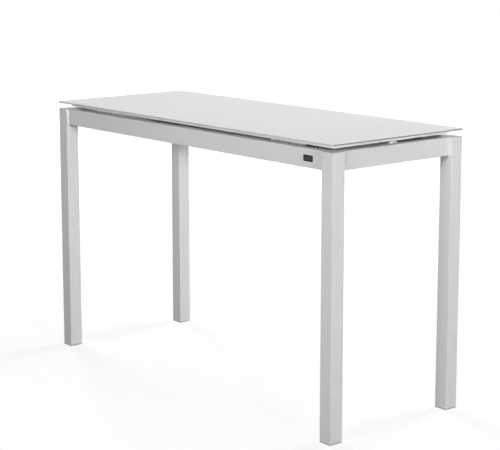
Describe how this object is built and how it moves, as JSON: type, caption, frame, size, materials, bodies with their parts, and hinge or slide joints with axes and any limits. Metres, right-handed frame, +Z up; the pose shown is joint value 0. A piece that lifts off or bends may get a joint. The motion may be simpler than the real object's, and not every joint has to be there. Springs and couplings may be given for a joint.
{
  "type": "extending console table",
  "caption": "Slim white console table with a glass top on a steel frame; the front legs and rail pull out on telescopic slide bars to take loose leaves.",
  "frame": {"origin": "on the floor, under the middle of the closed table", "axes": "+X along the table to the user's right, -Y towards the user, +Z up"},
  "size_m": [1.2, 0.465, 0.755],
  "materials": {
    "white_paint": "satin white powder coat",
    "white_glass": "tempered, white lacquer on its back",
    "white_board": "white melamine on fibreboard",
    "slide_aluminium": "extruded, anodised",
    "bracket_steel": "grey zinc coat",
    "zinc_steel": "zinc plated",
    "grey_plastic": "moulded",
    "cap_plastic": "moulded white",
    "white_nylon": "moulded nylon",
    "badge_black": "plain, satin"
  },
  "bodies": {
    "rear_frame": {"board_screws": "zinc_steel", "fixed_bar_stop_pins": "zinc_steel", "left_board_rest": "white_nylon", "left_end_rail": "white_paint", "left_end_rail_plug": "cap_plastic", "left_fixed_bar": "slide_aluminium", "rear_board_rests": "white_nylon", "rear_corner_gussets": "white_paint", "rear_left_foot": "grey_plastic", "rear_left_leg": "white_paint", "rear_left_leg_cap": "cap_plastic", "rear_left_slide_bracket": "bracket_steel", "rear_rail": "white_paint", "rear_right_foot": "grey_plastic", "rear_right_leg": "white_paint", "rear_right_leg_cap": "cap_plastic", "rear_right_slide_bracket": "bracket_steel", "rear_slide_bolts": "zinc_steel", "right_board_rest": "white_nylon", "right_end_rail": "white_paint", "right_end_rail_plug": "cap_plastic", "right_fixed_bar": "slide_aluminium", "top_board": "white_board", "top_glass": "white_glass"},
    "front_frame": {"badge_plate": "badge_black", "front_left_foot": "grey_plastic", "front_left_leg": "white_paint", "front_left_leg_cap": "cap_plastic", "front_left_slide_bracket": "bracket_steel", "front_leg_stubs": "white_paint", "front_rail": "white_paint", "front_right_foot": "grey_plastic", "front_right_leg": "white_paint", "front_right_leg_cap": "cap_plastic", "front_right_slide_bracket": "bracket_steel", "front_slide_bolts": "zinc_steel", "left_front_bar": "slide_aluminium", "right_front_bar": "slide_aluminium"},
    "guide_stage_1": {"left_stage_1_bar": "slide_aluminium", "right_stage_1_bar": "slide_aluminium", "stage_1_stop_pins": "zinc_steel", "stage_1_tie": "slide_aluminium", "stage_1_tie_screws": "zinc_steel"},
    "guide_stage_2": {"left_stage_2_bar": "slide_aluminium", "right_stage_2_bar": "slide_aluminium", "stage_2_stop_pins": "zinc_steel", "stage_2_tie": "slide_aluminium", "stage_2_tie_screws": "zinc_steel"},
    "guide_stage_3": {"left_stage_3_bar": "slide_aluminium", "right_stage_3_bar": "slide_aluminium", "stage_3_stop_pins": "zinc_steel", "stage_3_tie": "slide_aluminium", "stage_3_tie_screws": "zinc_steel"},
    "guide_stage_4": {"left_stage_4_bar": "slide_aluminium", "right_stage_4_bar": "slide_aluminium", "stage_4_stop_pins": "zinc_steel", "stage_4_tie": "slide_aluminium", "stage_4_tie_screws": "zinc_steel"}
  },
  "joints": [
    {"name": "front_frame_slide", "type": "slide", "parent": "rear_frame", "child": "front_frame", "axis": [0, -1, 0], "range_m": [0, 1.35]},
    {"name": "stage_1_slide", "type": "slide", "parent": "rear_frame", "child": "guide_stage_1", "axis": [0, -1, 0], "range_m": [0, 0.27]},
    {"name": "stage_2_slide", "type": "slide", "parent": "rear_frame", "child": "guide_stage_2", "axis": [0, -1, 0], "range_m": [0, 0.54]},
    {"name": "stage_3_slide", "type": "slide", "parent": "rear_frame", "child": "guide_stage_3", "axis": [0, -1, 0], "range_m": [0, 0.81]},
    {"name": "stage_4_slide", "type": "slide", "parent": "rear_frame", "child": "guide_stage_4", "axis": [0, -1, 0], "range_m": [0, 1.08]}
  ],
  "couplings": [
    {"joint": "stage_1_slide", "follows": "front_frame_slide", "ratio": 0.2},
    {"joint": "stage_2_slide", "follows": "front_frame_slide", "ratio": 0.4},
    {"joint": "stage_3_slide", "follows": "front_frame_slide", "ratio": 0.6},
    {"joint": "stage_4_slide", "follows": "front_frame_slide", "ratio": 0.8}
  ]
}
